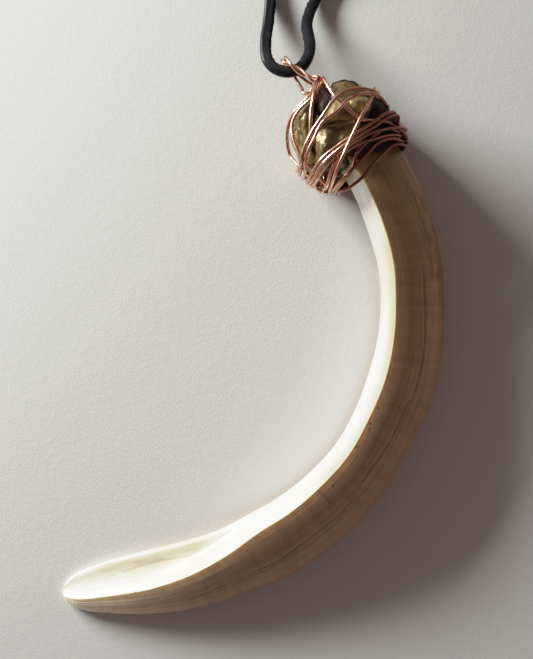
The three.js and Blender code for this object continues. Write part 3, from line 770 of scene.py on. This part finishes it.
# The sheets folded over the bag, each as rows of places from its cut edge inwards.
LEFT_LOBE = [
    [(15.6, 67.9, 17.5), (16.2, 68.3, 18), (16.8, 68.6, 18.5), (17.5, 69.1, 18)],
    [(13.4, 66.2, 17), (14.6, 65.9, 19), (15.8, 65.6, 20.2), (17.3, 65.6, 20)],
    [(11.8, 62.6, 16), (13.3, 62.5, 19.3), (15, 61.8, 21), (17.1, 61.3, 20.3)],
    [(11.8, 59.8, 15.5), (13.3, 59.5, 18.4), (15, 58.8, 20.3), (17, 58.2, 19.9)],
    [(13.1, 55.8, 15.3), (14.5, 55.5, 17.5), (15.7, 54.8, 19), (17, 54.1, 18.9)],
    [(15.7, 51.2, 15), (16.4, 51.3, 16.8), (16.9, 51.2, 17.6), (17.5, 50.9, 17.6)],
]
DARK_FOLD = [
    [(17.7, 72.3, 16.5), (19.7, 71.9, 17), (22.5, 70.7, 18.5)],
    [(17.5, 68.5, 18.4), (19.6, 68.2, 18.4), (22.7, 67.3, 20.3)],
    [(16.9, 64.6, 19.2), (18.6, 64.7, 18.5), (21.2, 63.8, 20.6)],
    [(16.6, 60.9, 19.2), (17.7, 60.9, 18.6), (19.5, 59.9, 20)],
    [(16.5, 57, 18.6), (17.3, 56.8, 18.2), (18.4, 56.4, 19.2)],
]
MIDDLE_LOBE = [
    [(22.1, 67.3, 20), (24.3, 67.7, 21.2), (26.6, 67.9, 21.5), (28.6, 68, 21)],
    [(20.6, 64.4, 20.6), (23.3, 64.4, 23.2), (26.1, 64.6, 23.5), (28.8, 64.9, 22.3)],
    [(19.2, 61.3, 20.4), (21.7, 61.7, 22.9), (25.3, 62.2, 23.4), (28.7, 62.6, 22.6)],
    [(18.3, 58.9, 19.4), (21.2, 59.2, 20.3), (24.9, 59.8, 20.9), (29.1, 60.8, 21.6)],
    [(18.1, 56.6, 19.4), (20.9, 56.6, 21.2), (24.3, 57, 20.8), (28.8, 58.3, 21.4)],
    [(18.2, 53.8, 19), (20.6, 53.6, 22.4), (23.7, 54, 21.9), (27.1, 55.2, 21.2)],
    [(18.5, 50.3, 17.5), (20.9, 49.9, 20.3), (23.8, 50.2, 20.5), (26.6, 51.7, 20.2)],
]
TOP_FLAP = [
    [(22.4, 71.6, 17.6), (23.7, 72.9, 18.3), (26.2, 73.2, 18.9), (29.2, 72.8, 18.9), (30.8, 71.3, 18.3)],
    [(22.3, 70.4, 19.0), (24, 71.1, 19.8), (26.8, 71.2, 20.2), (29.5, 70.9, 19.9), (31.5, 70, 18.8)],
    [(22.4, 68.7, 20), (24.3, 69.3, 20.9), (27.1, 69.4, 21.3), (30, 69.1, 20.8), (32.7, 68.6, 19.4)],
    [(22.9, 66.9, 20.6), (24.9, 67.2, 21.4), (27.4, 67.1, 21.8), (30.5, 67, 21.2), (33.5, 67, 19.6)],
]
RIGHT_LOBE = [
    [(27.1, 68, 21), (29.4, 68.2, 21.3), (31.7, 68, 21), (33.8, 67.7, 19.6)],
    [(27.6, 65.8, 22.4), (29.6, 65.9, 23), (31.6, 65.7, 22.6), (33.7, 65.7, 20.9)],
    [(28, 63.8, 22.6), (29.8, 63.7, 23), (31.6, 63.5, 22.5), (33.4, 63.7, 21.2)],
    [(28.5, 61.7, 21.6), (29.9, 61.3, 21.9), (31.4, 61.4, 21.4), (32.8, 61.8, 20.6)],
]
RIGHT_FLAP = [
    [(31.8, 68.9, 19.4), (34.1, 68.5, 19.2), (36.5, 67.8, 18.3), (38.3, 66.7, 17)],
    [(31.7, 66.3, 21), (34, 66, 20.8), (36.6, 65.7, 19.6), (39.3, 65.2, 17.4)],
    [(31.7, 64, 21.2), (34, 64.2, 20.9), (36.9, 64.3, 19.9), (40.1, 64.7, 17.4)],
]


def level_way(degrees):
    return Vector((math.cos(math.radians(degrees)), math.sin(math.radians(degrees)), 0))


def drawn_in(turn):
    """The share of its full reach that the cap keeps where its folds draw it in."""
    reach = 1
    for at, deep, wide in CAP_FOLDS:
        away = abs((turn - at + 540) % 360 - 180) / wide
        reach -= deep * math.exp(-away * away)
    return reach


def fall_at(x, y):
    """How far the head's top has fallen at a place past its crest."""
    past = min((x - at_x) * math.cos(math.radians(turn)) + (y - at_y) * math.sin(math.radians(turn))
               for at_x, at_y, turn in CRESTS)
    return FALL_SLOPE * (math.hypot(past, FALL_ROUND) - FALL_ROUND) if past > 0 else 0


def crumple(point):
    """How far wrinkles lift the leather at a place, in millimetres."""
    return (0.30 * noise.noise(point / 4.2) + 0.16 * noise.noise(point / 1.7)
            + 0.06 * noise.noise(point / 0.7))


def gathered(point):
    """A place on the bag, drawn in on the tusk where it is near the bag's mouth and pressed
    flat by the wire where the tusk bends inwards."""
    ahead, across = level_way(MOUTH_TURN), level_way(MOUTH_TURN + 90)
    off = point - Vector(MOUTH_MIDDLE)
    pull = math.exp(-((max(0, -off.dot(ahead)) / DRAWN_LONG) ** 2))
    place = point - across * off.dot(across) * DRAWN_ACROSS * pull
    place.z -= off.z * DRAWN_UPRIGHT * pull
    place.y = max(place.y, INNER_SIDE + 0.5 * crumple(point))
    return place


def bag_rings():
    """The bag over the root, from its underside to its top, drawn in at the folds."""
    rings = []
    for i in range(1, CAP_UP):
        tilt = math.pi * i / CAP_UP - math.pi / 2
        flat, high = math.cos(tilt), math.sin(tilt)
        boxy = (flat**3 + abs(high) ** 3) ** (-1 / 3)
        ring = []
        for j in range(CAP_ROUND):
            turn = 2 * math.pi * j / CAP_ROUND
            reach = 1 - (1 - drawn_in(math.degrees(turn))) * flat
            point = Vector((HEAD[0] + math.cos(turn) * flat * boxy * CAP_REACH * reach,
                            HEAD[1] + math.sin(turn) * flat * boxy * CAP_REACH * reach, 0))
            rise = CAP_RISE - fall_at(point.x, point.y) if high > 0 else CAP_DROP
            point.z = HEAD[2] + high * boxy * rise * (0.5 + 0.5 * reach)
            away = (point - Vector(HEAD)).normalized()
            folds = 1 - soft_step(fall_at(point.x, point.y) / 2)
            point += away * (crumple(point) - (0.9 + 0.4 * folds) * soft_step((high + 0.6) / 0.5) - 0.2)
            point.z -= UNDER_THE_FOLDS * folds * soft_step((high - 0.35) / 0.4)
            ring.append(gathered(point) * MM)
        rings.append(ring)
    return rings


def cut_at_the_mouth(mesh):
    """Opens the bag where the tusk leaves it."""
    bag = bmesh.new()
    bag.from_mesh(mesh)
    bmesh.ops.bisect_plane(bag, geom=[*bag.verts, *bag.edges, *bag.faces], dist=1e-7, clear_outer=True,
                           plane_co=Vector((*MOUTH_AT, 0)) * MM, plane_no=level_way(MOUTH_TURN))
    bag.to_mesh(mesh)
    bag.free()
    return mesh


def sheet_mesh(rows, cut_sides, finish):
    """A smooth, slightly crumpled surface through rows of places. The cut sides, of the first
    and last row or the first and last place in the rows, get the raw edge's finish."""
    one_way = [curve_through(row, SHEET_CELLS) for row in rows]
    grid = np.array([curve_through(column, SHEET_CELLS) for column in np.swapaxes(one_way, 0, 1)])
    points = []
    for place in grid.reshape(-1, 3):
        point = Vector(place)
        point.z -= fall_at(point.x, point.y) * (point.z - HEAD[2]) / CAP_RISE
        ragged = (noise.noise(point / 1.3 + Vector((0, 0, apart))) * RAGGED for apart in (17, 41))
        points.append((point + Vector((*ragged, crumple(point) * 0.45))) * MM)
    down, over = grid.shape[:2]
    faces = [(i * over + j, i * over + j + 1, (i + 1) * over + j + 1, (i + 1) * over + j)
             for i in range(down - 1) for j in range(over - 1)]
    mesh = smooth_mesh(points, faces)
    mesh.materials.append(finish)
    mesh.materials.append(raw_edge)
    for face in mesh.polygons:
        i, j = divmod(face.index, over - 1)
        from_side = {"first place": i, "last place": down - 2 - i, "first row": j, "last row": over - 2 - j}
        face.material_index = int(any(from_side[side] < RAW_CELLS for side in cut_sides))
    if sum(face.normal.z for face in mesh.polygons) < 0:
        mesh.flip_normals()
    return mesh


def thickened(mesh, *finishes):
    """The surface given its leather's thickness, inwards, with its cut edges in the last finish."""
    piece = show("sheet", mesh, *finishes)
    wall = piece.modifiers.new("thickness", "SOLIDIFY")
    wall.thickness = LEATHER_THICK * MM
    wall.offset = -1
    wall.material_offset_rim = 1
    edge = piece.modifiers.new("rounded edge", "BEVEL")
    edge.width = EDGE_ROUND * MM
    edge.segments = 2
    edge.limit_method = "ANGLE"
    edge.angle_limit = math.radians(60)
    solid = made_plain(piece)
    solid.polygons.foreach_set("use_smooth", [True] * len(solid.polygons))
    return solid


def past_the_crest():
    """A group that gives how far past the folds' crest a place lies: 0 where it begins, 1 where
    it is full."""
    group = bpy.data.node_groups.new("past_the_crest", "ShaderNodeTree")
    for name, way in (("Begins", "INPUT"), ("Full", "INPUT"), ("Share", "OUTPUT")):
        group.interface.new_socket(name, in_out=way, socket_type="NodeSocketFloat")
    x, y, turn = CRESTS[0]
    given = add(group, "NodeGroupInput").outputs
    place = add(group, "ShaderNodeTexCoord").outputs["Object"]
    downhill = add(group, "ShaderNodeVectorMath", {0: place, 1: level_way(turn)}, operation="DOT_PRODUCT")
    past = math_node(group, "SUBTRACT", downhill.outputs["Value"], level_way(turn).dot((x, y, 0)) * MM)
    add(group, "NodeGroupOutput", {"Share": ranged(group, past, given["Begins"], given["Full"])})
    return group


crest_group = past_the_crest()


def gold_leather(name, bare_hide):
    """Foiled leather: olive gold, finely specked, and dark brown bare hide past the crest, partly
    rubbed wear and partly painted shade on the side that falls away from the light.
    """
    material, tree = new_material(name)
    place = add(tree, "ShaderNodeTexCoord").outputs["Object"]
    patches = noise_at(tree, place, 130, 6, 0.6)
    specks = noise_at(tree, place, 1900, 3, 0.7)
    foil = ramp(tree, patches, [(0.3, 0.06, 0.038, 0.013), (0.45, 0.17, 0.12, 0.038),
                                (0.6, 0.34, 0.255, 0.085), (0.8, 0.58, 0.47, 0.22)])
    foil = mixed(tree, ranged(tree, specks, 0.46, 0.36, 0.0, 0.75), foil, (0.045, 0.03, 0.012, 1))
    # Past the crest, where the head falls away from the light, the hide shows: partly rubbed wear and partly
    # painted shade.
    edge = {"Begins": math_node(tree, "MULTIPLY_ADD", patches, 0.006, -0.004),
            "Full": math_node(tree, "MULTIPLY_ADD", patches, 0.006, -0.001)}
    worn = add(tree, "ShaderNodeGroup", edge, node_tree=crest_group).outputs["Share"]
    bare_and_shade = math_node(tree, "MAXIMUM", worn, bare_hide)
    # The hide's dark brown also serves as painted shade, past the crest and in the dark fold.
    hide = ramp(tree, specks, [(0.35, 0.017, 0.009, 0.0065), (0.7, 0.056, 0.03, 0.021)])
    metal = times(tree, ranged(tree, specks, 0.36, 0.46, 0.2, 0.8), math_node(tree, "SUBTRACT", 1.0, bare_and_shade))
    shade(tree, {"Base Color": mixed(tree, bare_and_shade, foil, hide), "Metallic": metal,
                 "Roughness": ranged(tree, bare_and_shade, 0.0, 1.0, 0.43, 0.5), "Normal": grained(tree, 2600, 0.22),
                 "Coat Weight": math_node(tree, "MULTIPLY", metal, 1.2, clamp=True),
                 "Coat Roughness": 0.34, "Specular IOR Level": 0.12})
    return material


def cut_leather():
    """The raw edge of the leather, dyed black."""
    material, tree = new_material("leather_edge")
    fibres = noise_at(tree, add(tree, "ShaderNodeTexCoord").outputs["Object"], 1500, 4)
    colour = ramp(tree, fibres, [(0.3, 0.003, 0.0025, 0.0025), (0.7, 0.014, 0.011, 0.009)])
    shade(tree, {"Base Color": colour, "Roughness": 0.75, "Normal": bumped(tree, fibres, 0.4, 0.0001),
                 "Specular IOR Level": 0.15})
    return material


raw_edge = cut_leather()
gold = gold_leather("gold_leather", 0)
worn_gold = gold_leather("worn_gold_leather", 0.7)
# The dark fold's sheet is all bare hide: dark partly as painted shade in the fold.
bare_hide = gold_leather("bare_and_shaded_leather", 1)
cap_parts = [thickened(cut_at_the_mouth(skin(bag_rings())), gold, raw_edge)]
folds = [(DARK_FOLD, bare_hide, ()), (TOP_FLAP, worn_gold, ("first row",)), (RIGHT_LOBE, gold, ()),
         (RIGHT_FLAP, gold, ("first row", "last row", "last place")), (MIDDLE_LOBE, gold, ()),
         (LEFT_LOBE, gold, ("first row", "first place"))]
for rows, finish, cut_sides in folds:
    cap_parts.append(thickened(sheet_mesh(rows, cut_sides, finish)))
cap = show("folded_leather_cap", join(cap_parts))
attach(cap, "root")
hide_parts("leather_cap")

# ---------------- copper wire
# One length of bare 1 mm copper wire, wound freehand round the cap and the root. Its last
# turns go out as the bail, where two strands are twisted over the lace and hooked under it.

WIRE_RADIUS = 0.5 * MM
WIRE_REACH, WIRE_RISE, WIRE_DROP = 17.2, 13, 10.7
WIDE_REACH, WIDER_PAST_X = 17.8, 41  # where the wire passes the outer side of the tusk
WIRE_SIDES = 14
# The wraps in the order they were wound: over the head's top, as x, y and the height above
# the head's skin, in millimetres.
WRAPS_ROUND_THE_ROOT = [
    [(34.5, 70.5, 0.3), (33.5, 67, 0.2), (30.5, 61.5, 1.4), (28.3, 57, 2), (26, 52, 1.8),
     (23.8, 47, 1.2), (22.5, 42.5, 0.6)],
    [(35, 69, 0.8), (30.5, 70, 0.4), (26, 69, 0.8), (23, 66.5, 1.1), (19.5, 61.5, 1.2),
     (16.5, 57, 1.2), (14.5, 52.5, 1.2), (14, 49, 0.9)],
    [(38, 66, 0.6), (35.5, 68, 0.6), (32, 68.5, 0.4), (27, 66.5, 1.1), (23.5, 63, 1.1),
     (19.5, 60, 1), (17.5, 56, 1), (15.5, 51.5, 1), (15.3, 47, 0.8)],
    [(41, 61.5, 1), (41, 64, 1), (37.5, 63, 1), (33.5, 60, 0.9), (29, 57, 0.7),
     (24, 53.5, 0.6), (19.5, 50, 0.6), (16.5, 45.5, 0.6)],
    [(41.6, 60.6, 1.2), (41.3, 62.9, 1.2), (38, 61.9, 1), (34, 59, 0.9), (29.5, 56, 0.7),
     (24.6, 52.6, 0.6), (20.2, 49, 0.6), (17.4, 45.2, 0.6)],
    [(42, 60.3, 0.6), (37.5, 59, 0.5), (33, 57.3, 0.3), (28, 54.5, 0.3), (24, 51.5, 0.3),
     (20.5, 48, 0.4), (18.3, 44.5, 0.5)],
    [(42.5, 59, 0.3), (38.5, 59.6, 0.1), (35.5, 57.5, 0), (32.5, 55, 0), (29.5, 51.5, 0),
     (28, 47, 0.2), (26, 44.5, 0.3), (24, 42, 0.3)],
    [(42.3, 58, 0.3), (34, 56, 0), (28, 53.3, 0), (24, 50.3, 0), (22, 46, 0), (21.3, 43, 0.2)],
    [(43.2, 56.3, 0.8), (39.5, 57, 0.6), (35.5, 55, 0.4), (32, 51, 0.4), (27.8, 47, 0.6),
     (25, 43.8, 0.7), (23.5, 42, 0.6)],
    [(43.7, 56, 1), (40.5, 55.2, 0.4), (37, 51.7, 0.2), (34, 48.5, 0.2), (31, 45, 0.6),
     (27.5, 42.5, 1.2), (24.5, 41.8, 0.8)],
]
WRAPS_FROM_THE_BAIL = [
    [(19, 73.5, 0.9), (17.5, 68.5, 0.9), (16.5, 62.5, 0.3), (16.3, 57, 0), (14.3, 52, 0),
     (13.6, 47.5, 0.1)],
    [(18.6, 73.5, 0.1), (16.6, 68.5, 0), (12.5, 64.5, 0), (10.3, 60.5, 0), (10, 56, 0),
     (11, 52, 0), (13.6, 48.6, 0), (16, 46, 0), (19, 43, 0.2), (21.3, 42.2, 0.5)],
    [(19.3, 73, 0.5), (17.2, 68.3, 0), (13.6, 65, 0), (11.4, 61, 0), (11.7, 56.5, 0),
     (14, 51.5, 0), (17, 47.5, 0), (19.5, 44.5, 0), (21, 43, 0.2)],
    [(20, 73.5, 0.6), (23.5, 67.5, 0), (27.5, 63.5, 0), (30.5, 61.2, 0), (34.5, 61, 0),
     (38.5, 61.2, 0.2), (41.7, 60.2, 0.6), (43.9, 58.2, 1), (44.3, 56.4, 1.2)],
]
BAIL_OUT = [(19, 73.2, 16.3), (17.2, 74.2, 15.6), (14.5, 76, 14.8), (11.5, 78.4, 14), (9.4, 80.3, 12.4)]
BAIL_TIPS = [(8.6, 80.9, 9.9), (9.6, 81.3, 9.9)]
BAIL_BACK = [
    [(10.6, 79.6, 7.6), (13.4, 77.2, 7), (16, 74.8, 7.6), (18.2, 73, 8.8), (19.3, 73, 11)],
    [(9.6, 79.2, 7.4), (12, 76.9, 6.9), (13.8, 74, 7.6), (14.6, 72, 10.2), (14.3, 71, 12.6),
     (15.3, 70.3, 13.6), (16.6, 70.7, 13.8), (17.1, 71.6, 13.9)],
]
STRAND_OFFSET, TWIST_LENGTH = 0.56, 13.5
WIRE_STEP = 0.7
WIRE_APART = 1.04  # between the middles of two turns that touch
LAYING_PASSES, PASSES_A_SEARCH = 60, 10
WIRE_LOWEST, WIRE_HIGHEST = 0.55, 26.4


def wire_height(x, y, over):
    """The height of the wire's middle over or under a place on the head."""
    out = min(1, math.hypot(x - HEAD[0], y - HEAD[1]) / WIRE_REACH)
    power = 3 if over else 5
    return HEAD[2] + (1 - out**power) ** (1 / power) * (WIRE_RISE - fall_at(x, y) if over else -WIRE_DROP)


def rim_point(place):
    """Where the wire turns over the head's side, beside a wrap's first or last point."""
    away = Vector((place[0] - HEAD[0], place[1] - HEAD[1]))
    turn = math.degrees(math.atan2(away.y, away.x))
    away *= (WIDE_REACH if place[0] > WIDER_PAST_X else WIRE_REACH * drawn_in(turn)) / away.length
    return Vector((HEAD[0] + away.x, HEAD[1] + away.y, HEAD[2] - 3))


def underneath(start, end):
    """The wire's way under the head, from the end of one wrap to the start of the next."""
    first, last = rim_point(start), rim_point(end)
    between = [first.lerp(last, share) for share in (0.12, 0.35, 0.65, 0.88)]
    return [first, *((p.x, p.y, wire_height(p.x, p.y, False)) for p in between), last]


def wound(wraps, ends_at):
    """The wraps' points, each wrap followed by its way back under the head."""
    points = []
    for wrap, following in zip(wraps, [*(w[0] for w in wraps[1:]), ends_at]):
        points += [(x, y, wire_height(x, y, True) + off) for x, y, off in wrap]
        points += underneath(wrap[-1], following)
    return points


def bail_strand(which):
    """One strand of the bail, out along the twist and back under the lace."""
    twist = smooth_line(BAIL_OUT, 0.8)
    ahead = np.gradient(twist, axis=0)
    points = []
    for i, (place, way) in enumerate(zip(twist, ahead)):
        way = way / np.linalg.norm(way)
        side = np.cross([0, 0, 1], way)
        side /= np.linalg.norm(side)
        turn = 2 * math.pi * (which / 2 + i * 0.8 / TWIST_LENGTH)
        points.append(place + STRAND_OFFSET * (side * math.cos(turn) + np.cross(way, side) * math.sin(turn)))
    return [*points, BAIL_TIPS[which], *BAIL_BACK[which]]


def laid_apart(line):
    """The wire with its turns beside each other: where two would share a place, they move
    apart, and the wire stays smooth."""
    outward = line - HEAD
    outward /= np.linalg.norm(outward, axis=1)[:, None]
    moved = np.zeros_like(line)
    for step in range(LAYING_PASSES):
        now = line + moved
        if step % PASSES_A_SEARCH == 0:
            square = (now**2).sum(1)
            near = square[:, None] + square[None] - 2 * now @ now.T < (WIRE_APART + 0.8) ** 2
            first, second = np.nonzero(np.triu(near, 5))
        between = now[first] - now[second]
        apart = np.maximum(np.linalg.norm(between, axis=1), 0.01)
        push = between * (0.3 * np.maximum(0, WIRE_APART - apart) / apart)[:, None]
        np.add.at(moved, first, push)
        np.add.at(moved, second, -push)
        moved[1:-1] = moved[1:-1] * 0.5 + (moved[:-2] + moved[2:]) * 0.25
        moved += outward * np.maximum(0, -0.3 - (moved * outward).sum(1))[:, None]
    laid = line + moved
    laid[:, 2] = np.clip(laid[:, 2], WIRE_LOWEST, WIRE_HIGHEST)
    return laid


def bright_copper():
    """Drawn copper: bright on its crowns, with brown tarnish in blotches, and darkened past the crest as
    painted shade.
    """
    material, tree = new_material("copper")
    place = add(tree, "ShaderNodeTexCoord").outputs["Object"]
    blotches = noise_at(tree, place, 160, 6)
    bright = ramp(tree, blotches, [(0.32, 0.34, 0.13, 0.08), (0.44, 0.72, 0.38, 0.27),
                                   (0.7, 0.86, 0.55, 0.43)])
    # Past the crest the copper is darkened: painted shade, where the wire lies on the side away from the
    # light.
    shaded = add(tree, "ShaderNodeGroup", {"Begins": -0.001, "Full": 0.004}, node_tree=crest_group)
    painted_crest_shade = times(tree, shaded.outputs["Share"], 0.82)
    shade(tree, {"Base Color": mixed(tree, painted_crest_shade, bright, (0.17, 0.062, 0.038, 1)), "Metallic": 1.0,
                 "Roughness": ranged(tree, blotches, 0.34, 0.6, 0.33, 0.17),
                 "Normal": bumped(tree, noise_at(tree, place, 2600, 2), 0.12, 0.0001)})
    return material


wire_points = [*wound(WRAPS_ROUND_THE_ROOT, BAIL_OUT[0]), *bail_strand(0),
               *wound(WRAPS_FROM_THE_BAIL, BAIL_OUT[0]), *bail_strand(1)]
wire_line = laid_apart(smooth_line(wire_points, WIRE_STEP)) * MM
wire = show("wound_copper_wire", strand_mesh([wire_line], WIRE_RADIUS, WIRE_SIDES, bright_copper()))
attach(wire, "root")
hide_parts("copper_wire")
